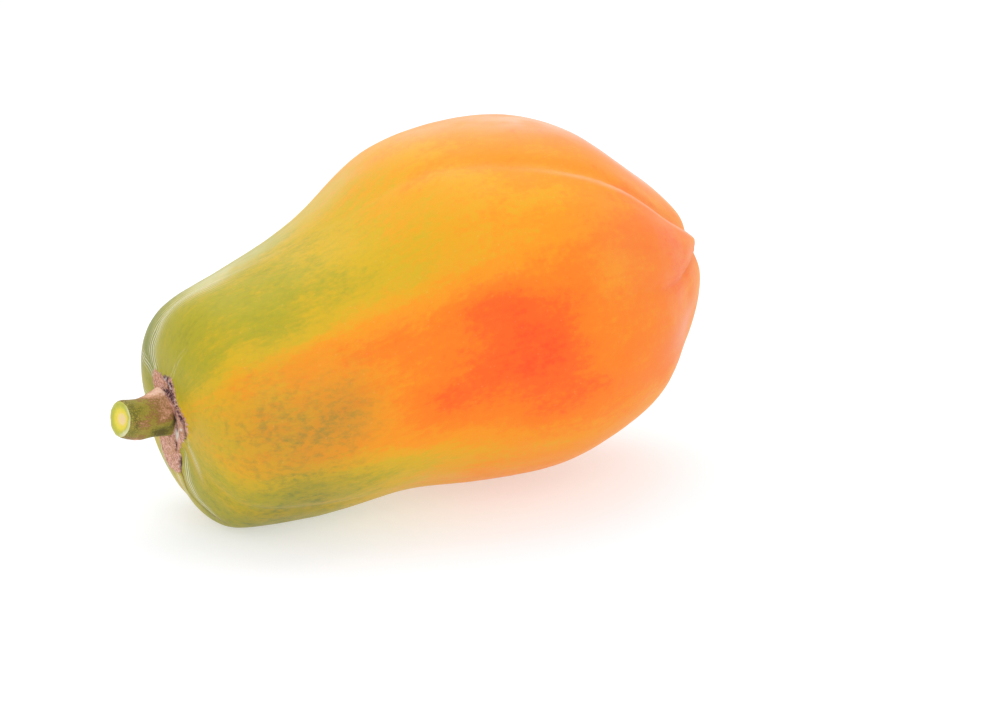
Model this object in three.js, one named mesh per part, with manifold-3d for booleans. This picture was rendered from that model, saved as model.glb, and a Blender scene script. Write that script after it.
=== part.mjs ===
// A whole ripe papaya with its cut stem, lying on its side.
// Millimetres, +Z up. +X runs from the stem end to the blossom end and -Y is the front.
// The origin is on the ground, under the middle of the whole thing.
import * as THREE from "three";
import { mergeVertices } from "three/addons/utils/BufferGeometryUtils.js";
import Module from "manifold-3d";

const wasm = await Module();
wasm.setup();

// The fruit before it is laid down: its axis runs along +X and the stem seat is at 0.
const fruitLength = 208;
const widthFactor = 1.03; // a little wider than tall
// The outline from the middle of the seat to the blossom end: share of the length, radius.
const outline = [
  [0.004, 0],
  [0.002, 5.1],
  [0.0, 10.3],
  [0.01, 25.6],
  [0.055, 37.4],
  [0.17, 43.2],
  [0.32, 48.8],
  [0.47, 59.4],
  [0.62, 61.7],
  [0.76, 53.1],
  [0.88, 34.4],
  [0.955, 18.5],
  [0.981, 10.5],
  [0.985, 5.5],
  [0.979, 0],
];
const stepsAround = 92;
const stepsAlong = 54;

// Five lobes, with a groove between each two. Each groove winds from its angle at the stem
// to its angle at the blossom end, with a last turn at the tip. Degrees: 0 faces the front
// and 90 faces up.
const grooves = [
  { atStem: 112, atBlossom: 45, tipTurn: -3 },
  { atStem: 33, atBlossom: 7, tipTurn: 7 },
  { atStem: -44, atBlossom: -78, tipTurn: 0 },
  { atStem: -109, atBlossom: -142, tipTurn: 0 },
  { atStem: 178, atBlossom: 128, tipTurn: 0 },
];
const windingLead = 0.34; // how much faster than even a groove winds before the blossom end
const windingPower = 6;
const tipSpan = [0.8, 0.97]; // spans are shares of the length over which a change builds up
const stemEndSpan = [0.05, 0.3];
const blossomEndSpan = [0.62, 0.9];
const lobeSwell = 0.034; // share of the radius from groove to crown
const lobeSwellAtBlossom = 0.05; // added towards the blossom end
const creaseWidth = 3.2;
const creaseDepthOnBody = 0.15;
const creaseDepthAtEnds = 1.0;
const creaseEase = 8; // radius at which a crease has half its depth
const foldDepth = 0.9; // the first groove is hollowed more on its upper side
const foldAt = 1.8;
const foldWidth = 4.4;
const foldSpan = [0.28, 0.5];
const foldEase = [6, 28]; // radii between which the fold comes in
const lobeEndBulge = 2.4; // how far the crowns reach past the grooves at the blossom end
const bulgeSpan = [0.8, 0.96];
const bulgeEase = 6;

// The neck bulges a little under the seat, and the front is flatter near the blossom end.
const localSwells = [
  { at: 0.035, spread: 0.035, angle: -105, wide: 34, height: 2.4 },
  { at: 0.87, spread: 0.06, angle: -22, wide: 24, height: -1.5 },
];

// The axis is not straight: the back arches, and both ends sit a little high.
const archHumps = [
  { at: 0.45, height: 7.7 },
  { at: 0.7, height: 6.2 },
];
const archSpread = 0.16;
const seatRise = 2.2;
const seatRiseRadius = 42;
const seatEnd = 0.3; // the seat end is below this share of the length
const apexRise = 3.3;
const apexRiseRadius = 50;
const apexStart = 0.6;

// The star-shaped corky scar round the stem: a raised plate with long and short points.
const collarRadius = 9;
const collarHeight = 0.9;
const collarEdge = 2.2;
const collarPoints = [
  { angle: 15, reach: 1.6, spread: 30 },
  { angle: 78, reach: 4.5, spread: 16 },
  { angle: 116, reach: 8.6, spread: 26 },
  { angle: 178, reach: 2.5, spread: 20 },
  { angle: -150, reach: 3.5, spread: 16 },
  { angle: -118, reach: 12.5, spread: 24 },
  { angle: -94, reach: 4.5, spread: 13 },
];
const scarEnd = 0.1;

// Laid down, the fruit rests on its belly and on the neck, each on a small flat spot.
const layTilt = 8.0; // degrees, blossom end up
const restDepth = 0.5; // how much of each low point is flattened

// The stem: a short green stub, ridged, flared on top where it grows out, cut square.
const stemRadius = 6.0;
const stemLength = 17.4; // from the seat to the cut
const stemRoot = 2.0; // sunk into the seat
const stemBack = 3.5; // its foot stands towards the back of the seat
const stemDown = 1.0;
const stemFootFlare = 4.5;
const stemFlareLength = 6.5;
const stemFlareBelow = 0.12; // share of the flare on the lower side
const stemKnuckle = 1.2; // a swelling before the cut, on the lower side
const stemKnuckleAt = 11.5;
const stemKnuckleLength = 5.5;
const stemRidges = 5;
const stemRidgeDepth = 0.25;
const stemCutBevel = 0.5;
const stemTurn = 6; // degrees towards the front
const stemLift = 8; // degrees above level
const stemStepsAround = 40;
const stemStepsAlong = 16;
const seatGap = 0.3;
const mergeDistance = 1e-4;

const radians = THREE.MathUtils.degToRad;

function smoothStep(low, high, value) {
  return THREE.MathUtils.smoothstep(value, low, high);
}

function bell(distance, spread) {
  return Math.exp(-((distance / spread) ** 2));
}

// The smallest turn between two angles, in radians, as a positive number.
function turnBetween(first, second) {
  const turn = THREE.MathUtils.euclideanModulo(first - second, 2 * Math.PI);
  return Math.min(turn, 2 * Math.PI - turn);
}

// How far along its winding a groove is: even at first, then straight at the blossom end.
function winding(share) {
  const along = THREE.MathUtils.clamp(share, 0, 1);
  return (1 + windingLead) * along - windingLead * along ** windingPower;
}

// Where an angle lies between its two grooves: swell runs from -0.5 in a groove to 0.5 on a
// crown and is less on a narrow lobe, nearest is the signed turn from the nearer groove, and
// onFold tells whether that groove is the first.
function placeOnLobe(share, angle) {
  const turns = grooves.map(({ atStem, atBlossom, tipTurn }) => {
    const degrees = THREE.MathUtils.lerp(atStem, atBlossom, winding(share));
    const groove = radians(degrees + tipTurn * smoothStep(...tipSpan, share));
    return THREE.MathUtils.euclideanModulo(angle - groove, 2 * Math.PI);
  });
  const below = Math.min(...turns);
  const farthest = Math.max(...turns);
  const above = 2 * Math.PI - farthest;
  const lobeWidth = below + above;
  const narrowness = Math.min(1, (lobeWidth * grooves.length) / (2 * Math.PI));
  const swell = -0.5 * narrowness * Math.cos((2 * Math.PI * below) / lobeWidth);
  const isBelow = below < above;
  const onFold = turns[0] === (isBelow ? below : farthest);
  return { swell, nearest: isBelow ? below : -above, onFold };
}

// The height of the corky scar at a point of the seat.
function collarRelief(radius, angle) {
  const reach = collarPoints.reduce((sum, point) => {
    const around = bell(turnBetween(angle, radians(point.angle)), radians(point.spread));
    return sum + point.reach * around;
  }, collarRadius);
  return collarHeight * (1 - smoothStep(reach - collarEdge, reach + collarEdge, radius));
}

// A point of the skin, for a share of the length, a radius and an angle of the smooth outline.
function skinPoint(share, radius, angle) {
  const { swell, nearest, onFold } = placeOnLobe(share, angle);
  const stemEnd = 1 - smoothStep(...stemEndSpan, share);
  const blossomEnd = smoothStep(...blossomEndSpan, share);
  const swelling = lobeSwell + lobeSwellAtBlossom * blossomEnd;
  const across = nearest * radius;
  const depth = THREE.MathUtils.lerp(creaseDepthOnBody, creaseDepthAtEnds, stemEnd + blossomEnd);
  const foldIn = foldDepth * smoothStep(...foldSpan, share) * smoothStep(...foldEase, radius);
  const fold = onFold ? foldIn * bell(across - foldAt, foldWidth) : 0;
  const crease = (depth * bell(across, creaseWidth) + fold) * (radius / (radius + creaseEase));
  const local = localSwells.reduce((sum, place) => {
    const around = bell(turnBetween(angle, radians(place.angle)), radians(place.wide));
    return sum + place.height * bell(share - place.at, place.spread) * around;
  }, 0);
  const lobed = radius * (1 + swelling * swell) - crease + local;

  const arch = archHumps.reduce((sum, hump) => sum + hump.height * bell(share - hump.at, archSpread), 0);
  const atSeat = share < seatEnd ? seatRise * Math.max(0, 1 - (radius / seatRiseRadius) ** 2) ** 2 : 0;
  const atApex = share > apexStart ? apexRise * Math.max(0, 1 - (radius / apexRiseRadius) ** 2) ** 2 : 0;
  const scar = share < scarEnd ? collarRelief(radius, angle) : 0;
  const reachOut = smoothStep(...bulgeSpan, share) * (radius / (radius + bulgeEase));
  return new THREE.Vector3(
    share * fruitLength - scar + lobeEndBulge * swell * reachOut,
    -lobed * Math.cos(angle) * widthFactor,
    lobed * Math.sin(angle) + arch + atSeat + atApex,
  );
}

// A closed geometry as a solid: only its places are kept, doubles merged, slivers dropped.
function toSolid(geometry) {
  const places = geometry.clone();
  places.deleteAttribute("normal");
  places.deleteAttribute("uv");
  const merged = mergeVertices(places, mergeDistance);
  const corners = merged.index.array;
  const kept = [];
  for (let i = 0; i < corners.length; i += 3) {
    const [a, b, c] = corners.slice(i, i + 3);
    if (a !== b && b !== c && c !== a) kept.push(a, b, c);
  }
  const vertProperties = new Float32Array(merged.attributes.position.array);
  return new wasm.Manifold(new wasm.Mesh({ numProp: 3, vertProperties, triVerts: new Uint32Array(kept) }));
}

function toGeometry(solid) {
  const mesh = solid.getMesh();
  const geometry = new THREE.BufferGeometry();
  geometry.setAttribute("position", new THREE.BufferAttribute(new Float32Array(mesh.vertProperties), 3));
  geometry.setIndex(new THREE.BufferAttribute(new Uint32Array(mesh.triVerts), 1));
  geometry.computeVertexNormals();
  return geometry;
}

// Moves every vertex of a geometry to where a function of its old place puts it.
function reshape(geometry, move) {
  const position = geometry.attributes.position;
  const point = new THREE.Vector3();
  for (let i = 0; i < position.count; i += 1) {
    point.fromBufferAttribute(position, i);
    position.setXYZ(i, ...move(point).toArray());
  }
  return geometry;
}

// The smooth outline is turned round its axis, and each vertex then goes to its lobed place.
function makeSkin() {
  const curve = new THREE.SplineCurve(
    outline.map(([share, radius]) => new THREE.Vector2(radius, share * fruitLength)),
  );
  const turned = new THREE.LatheGeometry(curve.getPoints(stepsAlong), stepsAround);
  return reshape(turned, ({ x, y, z }) => skinPoint(y / fruitLength, Math.hypot(x, z), Math.atan2(x, -z)));
}

// The stem along its own +Z, with the seat at 0, the cut at its length and +Y up.
function makeStem(grow) {
  const curve = new THREE.CylinderGeometry(1, 1, 1, stemStepsAround, stemStepsAlong);
  return reshape(curve, ({ x, y, z }) => {
    const height = (y + 0.5) * (stemLength + stemRoot) - stemRoot;
    const angle = Math.atan2(x, z);
    const upperSide = 0.5 + 0.5 * Math.sin(angle);
    const flareShare = THREE.MathUtils.lerp(stemFlareBelow, 1, upperSide ** 2);
    const flare = stemFootFlare * flareShare * bell(Math.max(height, 0), stemFlareLength);
    const knuckle = stemKnuckle * (1 - upperSide) * bell(height - stemKnuckleAt, stemKnuckleLength);
    const ridge = stemRidgeDepth * Math.cos(stemRidges * angle);
    const bevel = height > stemLength - mergeDistance ? stemCutBevel : 0;
    const radius = Math.hypot(x, z) * (stemRadius + flare + knuckle + ridge - bevel + grow);
    return new THREE.Vector3(radius * Math.cos(angle), radius * Math.sin(angle), height);
  });
}

const seat = new THREE.Vector3(outline[0][0] * fruitLength - collarHeight, stemBack, seatRise - stemDown);
const layDown = new THREE.Matrix4().makeRotationY(-radians(layTilt));

const stemDirection = new THREE.Vector3(
  -Math.cos(radians(stemLift)) * Math.cos(radians(stemTurn)),
  -Math.cos(radians(stemLift)) * Math.sin(radians(stemTurn)),
  Math.sin(radians(stemLift)),
);
const stemSide = new THREE.Vector3(0, 0, 1).cross(stemDirection).normalize();
const stemUp = stemDirection.clone().cross(stemSide);
const stemPlace = new THREE.Matrix4().makeBasis(stemSide, stemUp, stemDirection);
stemPlace.setPosition(seat.clone().applyMatrix4(layDown));

const skin = makeSkin().applyMatrix4(layDown);
skin.computeBoundingBox();
const ground = skin.boundingBox.min.z + restDepth;
const groundBlock = new THREE.BoxGeometry(3 * fruitLength, 3 * fruitLength, fruitLength);
groundBlock.translate(0, 0, ground - fruitLength / 2);

const socket = toSolid(makeStem(seatGap).applyMatrix4(stemPlace));
const fruitSolid = toSolid(skin).subtract(toSolid(groundBlock)).subtract(socket);

const fruit = new THREE.Mesh(
  toGeometry(fruitSolid),
  new THREE.MeshStandardMaterial({ color: 0xf39a2b, roughness: 0.42, metalness: 0 }),
);
fruit.name = "papaya_fruit";

const stem = new THREE.Mesh(
  toGeometry(toSolid(makeStem(0))),
  new THREE.MeshStandardMaterial({ color: 0x87903a, roughness: 0.75, metalness: 0 }),
);
stem.name = "stem";
stem.applyMatrix4(stemPlace);

const papaya = new THREE.Group();
papaya.add(fruit, stem);
papaya.updateMatrixWorld(true);
const box = new THREE.Box3().setFromObject(papaya, true);
const middle = box.getCenter(new THREE.Vector3());
papaya.position.set(-middle.x, -middle.y, -ground);

export default papaya;
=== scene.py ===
import bmesh
import bpy
import math
import numpy as np
from mathutils import Matrix, Vector, noise


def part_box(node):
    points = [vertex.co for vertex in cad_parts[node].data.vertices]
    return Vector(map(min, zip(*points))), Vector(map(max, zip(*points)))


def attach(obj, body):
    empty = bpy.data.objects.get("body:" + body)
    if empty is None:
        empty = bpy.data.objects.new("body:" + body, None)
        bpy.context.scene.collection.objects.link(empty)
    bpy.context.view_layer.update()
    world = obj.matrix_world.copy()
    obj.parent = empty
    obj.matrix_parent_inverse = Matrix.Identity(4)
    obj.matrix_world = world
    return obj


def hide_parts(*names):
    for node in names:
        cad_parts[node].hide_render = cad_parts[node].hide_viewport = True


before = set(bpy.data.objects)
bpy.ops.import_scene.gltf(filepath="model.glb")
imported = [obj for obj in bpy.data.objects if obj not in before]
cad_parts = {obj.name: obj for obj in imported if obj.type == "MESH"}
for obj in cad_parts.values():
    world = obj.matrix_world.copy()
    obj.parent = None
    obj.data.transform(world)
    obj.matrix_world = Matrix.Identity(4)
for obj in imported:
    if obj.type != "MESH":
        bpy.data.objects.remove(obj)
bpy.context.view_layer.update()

# Lengths in the dictionaries are millimetres, as on the solids, and angles are degrees.
# +X runs from the stem end to the blossom end. Round the fruit 0 degrees faces -Y and 90 up.
# A share is a part of the fruit's length from the stem end. A pair that ends in From or To, such
# as tipFrom, holds the two values between which something comes in or goes out.
mm = 0.001


def smoothStep(low, high, value):
    part = np.clip((value - low) / (high - low), 0.0, 1.0)
    return part * part * (3.0 - 2.0 * part)


def bell(distance, spread):
    return np.exp(-((distance / spread) ** 2))


def turnBetween(first, second):
    # the smallest turn between two angles in radians, signed
    return (first - second + np.pi) % (2.0 * np.pi) - np.pi


def bellAround(angle, degrees, spread):
    # 1 at an angle, falling to 0 beside it
    return bell(turnBetween(angle, math.radians(degrees)), math.radians(spread))


def grain(points, size, seed):
    # smooth noise from -1 to 1, in lumps this many millimetres wide
    offset = Vector((seed * 17.3, seed * 5.1, seed * 9.7))  # far enough apart to differ
    return np.array([noise.noise(Vector(p) / size + offset) for p in points])


def linearColour(hexText):
    # sRGB hex to the linear values that a shader takes
    parts = [int(hexText[i:i + 2], 16) / 255 for i in (1, 3, 5)]
    linear = [c / 12.92 if c <= 0.04045 else ((c + 0.055) / 1.055) ** 2.4 for c in parts]
    return (*linear, 1.0)


def addNode(tree, kind, links=None, inputs=None, **settings):
    node = tree.nodes.new(kind)
    for name, value in settings.items():
        setattr(node, name, value)
    for socket, value in (inputs or {}).items():
        node.inputs[socket].default_value = value
    for socket, source in (links or {}).items():
        tree.links.new(source, node.inputs[socket])
    return node


def fillRamp(node, stops):
    elements = node.color_ramp.elements
    while len(elements) < len(stops):
        elements.new(0.5)  # its place and colour follow below
    for element, (position, hexText) in zip(elements, stops):
        element.position = position
        element.color = linearColour(hexText)


def newMaterial(name, values):
    material = bpy.data.materials.new(name)
    material.use_nodes = True
    tree = material.node_tree
    tree.nodes.clear()
    shader = tree.nodes.new("ShaderNodeBsdfPrincipled")
    output = tree.nodes.new("ShaderNodeOutputMaterial")
    tree.links.new(shader.outputs["BSDF"], output.inputs["Surface"])
    for socket, value in values.items():
        shader.inputs[socket].default_value = value
    return material, tree, shader


def spinOutline(name, shape, line, axis, steps, closeness):
    # turn an outline once round its axis, with both ends closed in a point
    edges = [shape.edges.new(pair) for pair in zip(line, line[1:])]
    bmesh.ops.spin(
        shape, geom=line + edges, cent=(0, 0, 0), axis=axis, dvec=(0, 0, 0),
        angle=2 * math.pi, steps=steps, use_merge=True, use_duplicate=False,
    )
    bmesh.ops.remove_doubles(shape, verts=shape.verts, dist=closeness)
    bmesh.ops.recalc_face_normals(shape, faces=shape.faces)
    mesh = bpy.data.meshes.new(name)
    shape.to_mesh(mesh)
    shape.free()
    points = np.empty(len(mesh.vertices) * 3)
    mesh.vertices.foreach_get("co", points)
    return mesh, points.reshape(-1, 3)


def addObject(name, data):
    thing = bpy.data.objects.new(name, data)
    bpy.context.scene.collection.objects.link(thing)
    return thing


def storeFields(mesh, fields):
    for name, values in fields.items():
        layer = mesh.attributes.new(name, "FLOAT", "POINT")
        layer.data.foreach_set("value", values.astype(np.float32))


def storePlaces(mesh, name, places):
    layer = mesh.attributes.new(name, "FLOAT_VECTOR", "POINT")
    layer.data.foreach_set("vector", places.astype(np.float32).ravel())


# The fruit, as the solid has it, then the finer things that only show here.
fruit = {
    "length": 208.0,
    "widthFactor": 1.03,
    # share, radius, and how many rings the stretch up to the next point gets
    "outline": [
        (0.004, 0.0, 8), (0.002, 5.1, 13), (0.0, 10.3, 40), (0.01, 25.6, 30), (0.055, 37.4, 24),
        (0.17, 43.2, 22), (0.32, 48.8, 22), (0.47, 59.4, 20), (0.62, 61.7, 20), (0.76, 53.1, 22),
        (0.88, 34.4, 20), (0.955, 18.5, 12), (0.981, 10.5, 8), (0.985, 5.5, 8), (0.979, 0.0, 0),
    ],
    "stepsAround": 300,
    "stemEndFrom": (0.05, 0.3),  # shares over which the stem end gives way to the body
    "blossomEndFrom": (0.62, 0.9),
    # angles of the five grooves: at the stem, at the blossom end, and a last turn at the tip
    "grooves": [(112, 45, -3), (33, 7, 7), (-44, -78, 0), (-109, -142, 0), (178, 128, 0)],
    "winding": (1.34, 0.34, 6),  # they turn evenly, and less towards the tip: rate, loss, power
    "tipFrom": (0.8, 0.97),
    "lobeSwell": 0.034,
    "lobeSwellAtBlossom": 0.05,
    "creaseWidth": 3.2,
    "creaseDepthOnBody": 0.15,
    "creaseDepthAtEnds": 1.0,
    "poleFade": 8.0,  # at this radius a crease is half as deep as on the body
    "lobeEndBulge": 2.4,
    "lobeEndFrom": (0.8, 0.96),
    "lobeEndFade": 6.0,
    # the groove over the front lobe is a fold: hollow above, with a sharp ridge below it
    "fold": {
        "depth": 1.0, "at": 1.8, "width": [(0.3, 7.0), (0.6, 4.6), (0.85, 2.8)],
        "ridge": 0.6, "ridgeAt": -2.6, "ridgeWidth": 1.6, "ridgeFrom": (0.5, 0.7),
        "shareFrom": (0.28, 0.5), "radiusFrom": (6, 28),
        # how much of a fold each groove is, and where the second one starts to be
        "onGrooves": [1, 0.35, 0, 0, 0.5], "secondFrom": (0.72, 0.85),
    },
    # places that swell or hollow: share, angle, their spreads, height
    "swells": [(0.035, -105, 0.035, 34, 2.4), (0.87, -22, 0.06, 24, -1.5)],
    "archHumps": [(0.45, 7.7), (0.7, 6.2)],
    "archSpread": 0.16,
    "seatRise": (2.2, 42.0, 0.3),  # height, radius, and the share where it ends
    "apexRise": (3.3, 50.0, 0.6),
    "tilt": 8.0,
    "wrapRadius": 40.0,  # a mean radius, for noise laid round the fruit
    "wave": (24.0, 0.35),  # uneven growth: size and height
    "pucker": (6.0, 0.07),
}

# The star-shaped corky scar round the stem, and what runs out of its points. Places on the seat
# are towards the front and up; on the skin, the length of skin from the seat and an angle.
scar = {
    "radius": 9.0,
    "height": 0.9,
    "edge": 2.2,
    "points": [
        (4, 2.3, 36), (74, 6.2, 17), (116, 8.6, 26), (-118, 12.5, 24), (-94, 4.5, 13),
        (-150, 3.5, 16), (178, 2.5, 20),
    ],
    "ragged": 0.9,
    "raggedStretch": (0.3, 0.4, 0.4),
    "raggedSize": 1.1,
    # it ends beyond these shares of the length, however far a point reaches
    "lastShare": 0.1,
    "endFrom": (0.03, 0.1),
    "endDrop": 60.0,
    "grainDepth": 0.16,
    "grainSize": 1.0,
    "crackDepth": 0.7,
    # dark cracks, and a painted shadow line down the front edge of the stem's foot: half width,
    # path
    "cracksAndFootShadow": [
        (0.4, [(-4.5, 16.5), (-1.0, 15.5), (0.9, 14.5), (2.2, 12.6), (2.4, 10.1), (-2.1, 8.9),
               (-3.8, 8.1)]),
        # this one is a painted shadow where the stem's foot meets the scar, cut a little in as
        # well
        (0.65, [(2.4, 9.6), (3.9, 8.2), (4.3, 5.6), (3.6, 2.8), (2.9, 0.8), (2.6, -1.2),
                (2.3, -3.6)]),
        (0.4, [(8.6, 3.0), (9.3, 1.4), (9.1, -0.9), (8.7, -3.9), (6.9, -7.6), (3.6, -10.5),
               (1.5, -12.8)]),
        (0.62, [(1.5, -12.8), (0.2, -15.1), (-0.9, -17.9)]),
        (0.3, [(1.2, -7.4), (0.9, -9.2), (-0.4, -10.6)]),
        (0.35, [(-11.0, 5.0), (-12.5, 8.2), (-10.0, 11.5)]),
        (0.35, [(-12.0, -3.5), (-14.0, -8.0), (-11.0, -13.0)]),
    ],
    "paleStreaks": [
        (0.45, [(0.2, 14.1), (1.9, 13.3), (3.6, 12.4), (4.8, 11.0)]),
        (0.9, [(1.6, -4.6), (3.4, -5.0), (2.0, -6.0)]),
        (0.5, [(6.0, -2.4), (7.3, -1.9)]),
    ],
    "darkSpots": [
        (1.9, [(-2.0, 8.8), (1.2, 9.2), (3.8, 8.0)]),
        (1.4, [(-1.5, 15.6), (0.2, 15.2), (2.6, 13.8), (4.4, 12.4)]),
        (1.1, [(4.6, 10.2), (6.0, 7.4), (7.4, 4.4), (8.6, 1.6)]),
        (0.7, [(1.1, -7.6), (0.8, -9.4)]),
    ],
    "markFrom": (-0.6, 0.4),  # how far inside the edge the cracks, streaks and spots begin
    # whitish wrinkled skin: how strong, how far apart its lines are, then places along the run:
    # length of skin, angle, half width
    "wrinkleRuns": [
        (0.9, 1.5, [(16, 112, 1.2), (20, 117, 2.4), (26, 117, 3.8), (31, 111, 4.4), (40, 103, 5.0),
                    (50, 97, 5.5), (62, 94, 6)]),
        (0.7, 1.6, [(15, 127, 1.5), (20, 131, 2.2), (28, 143, 2.8), (36, 150, 3.0)]),
        (0.8, 0.95, [(9.5, -13, 0.7), (11.8, -42, 0.9), (15, -45, 1.3), (19, -50, 1.6),
                     (24, -58, 1.6)]),
        (1.0, 1.3, [(12, -66, 0.8), (15, -77, 1.6), (20, -84, 2.2), (26, -82, 1.7), (30, -76, 1.3),
                    (38, -74, 1.6)]),
        (0.5, 1.4, [(15, 74, 0.6), (21, 70, 0.5), (28, 67, 0.4), (31, 66, 0.4)]),
        (0.9, 1.7, [(17, -110, 1.5), (21, -107, 2.2), (28, -102, 2.6), (36, -98, 3.0)]),
        (0.9, 2.0, [(17, -138, 2.0), (24, -127, 2.6), (30, -117, 3.0), (38, -110, 3.0)]),
        (0.7, 1.6, [(12, 179, 2.0), (20, 175, 3.0), (34, 170, 3.5), (48, 166, 4.0)]),
    ],
    "runFrom": (-2, 1),  # from the first place of each run
    "runFade": 2,  # how far before its last stretch a run begins to fade
    # a thin brown line beside the whitish skin below: length of skin, angle
    "brownLine": [
        (17.4, -94), (20.6, -95), (24.7, -95), (26.4, -90), (28.3, -86), (29.8, -81), (33, -76),
        (40, -73),
    ],
    "brownLineWidth": 0.33,
    "brownLineDepth": 0.25,
    "brownLineFrom": (16.5, 18),
    "brownLineTo": (40, 32),
    # where the flower sat, in the dimple at the far end
    "flowerScarRadius": 1.7,
    "flowerScarShare": 0.9,
    "flowerScarRagged": (1.5, 0.5),  # size, height
}

# How ripe the skin is, from 0, green, to 1, red.
ripening = {
    "along": [
        (0.0, 0.33), (0.2, 0.34), (0.25, 0.37), (0.3, 0.44), (0.35, 0.49), (0.4, 0.53), (0.5, 0.6),
        (0.6, 0.64), (0.75, 0.67), (0.87, 0.67), (0.96, 0.64), (1.0, 0.64),
    ],
    # the lobe in front ripens first: share of the length, low edge, high edge, change
    "frontLobe": [
        (0.0, -22, 34, 0.12), (0.05, -20, 40, 0.23), (0.1, -20, 39, 0.28), (0.2, -20, 37, 0.33),
        (0.3, -22, 34, 0.32), (0.4, -25, 27, 0.25), (0.5, -28, 30, 0.15), (0.65, -30, 34, 0.09),
        (0.85, -30, 38, 0.07), (1.0, -30, 38, 0.0),
    ],
    "edge": 13,
    # share of the length, angle, their spreads, change
    "patches": [
        (0.49, 3, 0.08, 12, 0.25), (0.54, -17, 0.08, 9, 0.13), (0.36, -6, 0.05, 8, 0.07),
        (0.24, 44, 0.05, 9, 0.05), (0.19, 51, 0.035, 7, 0.06), (0.43, 19, 0.04, 7, 0.08),
        (0.82, 27, 0.09, 17, 0.1), (0.66, 18, 0.05, 12, -0.05), (0.06, -78, 0.12, 14, -0.1),
        (0.055, 54, 0.045, 20, 0.06), (0.03, -26, 0.03, 16, 0.07), (0.04, 150, 0.06, 28, -0.1),
        (0.02, 85, 0.05, 38, -0.07), (0.02, 122, 0.15, 16, -0.14), (0.2, 170, 0.16, 30, -0.1),
        (0.55, -125, 0.16, 26, 0.16), (0.46, -55, 0.14, 16, 0.08), (0.7, 150, 0.14, 28, 0.1),
        (0.3, -165, 0.12, 20, 0.1),
    ],
    # where the neck stays dull, because green still shows through the orange, and painted shade:
    # darker on the underside of the neck near the ground and in a patch across its front
    "dullAndShade": [
        (0.1, -4, 0.1, 30, 0.5), (0.1, -36, 0.06, 18, 0.5), (0.17, 3, 0.05, 13, 0.35),
        (0.16, -38, 0.06, 18, 0.5), (0.2, 4, 0.04, 14, 0.3), (0.07, 6, 0.06, 22, 0.35),
        (0.09, -60, 0.07, 14, 0.7), (0.2, 84, 0.12, 16, 0.12), (0.1, -68, 0.1, 20, 0.5),
        (0.2, -110, 0.12, 25, 0.4), (0.15, 160, 0.12, 30, 0.4),
    ],
    # salmon-pink patches: a blush on the skin, and painted pinkish sheen along the top and lower
    # contours near the blossom end
    "pink": [
        (0.69, 26, 0.08, 18, 0.45), (0.83, 42, 0.08, 20, 0.16), (0.8, 78, 0.15, 19, 0.95),
        (0.82, -18, 0.08, 9, 0.5), (0.84, 170, 0.12, 40, 0.3),
    ],
    # painted sheen and highlight: pale patches along the top of the fruit and its contours, where
    # the skin turns away and would catch a whitish reflection
    "paintedSheen": [
        (0.12, 106, 0.06, 11, 0.7), (0.2, 108, 0.08, 12, 0.5), (0.36, 106, 0.1, 10, 0.3),
        (0.55, 97, 0.1, 10, 0.5), (0.68, 86, 0.09, 10, 0.85), (0.8, 80, 0.07, 10, 0.85),
        (0.88, 74, 0.05, 9, 0.6), (0.86, -17, 0.08, 6, 0.35), (0.25, 175, 0.15, 18, 0.35),
        (0.6, -160, 0.2, 16, 0.3),
    ],
    # a painted highlight along the fold's ridge: amount, half width, and where it comes in
    "ridgeHaze": {"amount": 0.55, "width": 1.3, "shareFrom": (0.55, 0.75), "radiusFrom": (8, 24)},
    # painted shade in the grooves, which turns the skin there riper and darker: half width, then
    # how much on the body and at either end
    "grooveShade": {"width": 5.0, "body": 0.35, "stemEnd": 0.65, "blossomEnd": 0.9},
}


def outlinePoints():
    # a smooth curve through the outline's points, with each stretch cut as finely as it needs
    points = np.array([(share * fruit["length"], radius) for share, radius, _ in fruit["outline"]])
    padded = np.vstack([points[:1], points, points[-1:]])
    curve = []
    for i, (_, _, steps) in enumerate(fruit["outline"][:-1]):
        p0, p1, p2, p3 = padded[i:i + 4]
        v0, v1 = (p2 - p0) / 2, (p3 - p1) / 2
        cubic, square = 2 * p1 - 2 * p2 + v0 + v1, 3 * p2 - 3 * p1 - 2 * v0 - v1
        for t in np.arange(steps) / steps:
            curve.append(cubic * t ** 3 + square * t ** 2 + v0 * t + p1)
    curve.append(points[-1])
    return np.array(curve)


def placeOnLobe(share, angle):
    # swell is -0.5 in a groove and 0.5 on a crown; nearest is the signed turn from the nearest
    # groove, and which is that groove's number
    along = np.clip(share, 0, 1)
    rate, loss, power = fruit["winding"]
    winding = rate * along - loss * along ** power
    tip = smoothStep(*fruit["tipFrom"], share)
    turns = np.array([
        (angle - np.radians(a + (b - a) * winding + c * tip)) % (2 * np.pi)
        for a, b, c in fruit["grooves"]
    ])
    below, above = turns.min(0), (2 * np.pi - turns).min(0)
    # a lobe narrower than a fifth of the round swells less
    narrowness = np.minimum(1, (below + above) * len(turns) / (2 * np.pi))
    swell = -0.5 * narrowness * np.cos(2 * np.pi * below / (below + above))
    nearest = np.where(below < above, below, -above)
    which = np.where(below < above, turns.argmin(0), turns.argmax(0))
    return swell, nearest, which


def nearPaths(front, up, paths):
    # 1 on any of the paths, falling to 0 beside it
    field = np.zeros_like(front)
    for width, path in paths:
        for (x0, y0), (x1, y1) in zip(path, path[1:]):
            run = (front - x0) * (x1 - x0) + (up - y0) * (y1 - y0)
            part = np.clip(run / ((x1 - x0) ** 2 + (y1 - y0) ** 2), 0, 1)
            away = np.hypot(front - x0 - part * (x1 - x0), up - y0 - part * (y1 - y0))
            field = np.maximum(field, bell(away, width))
    return field


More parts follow.
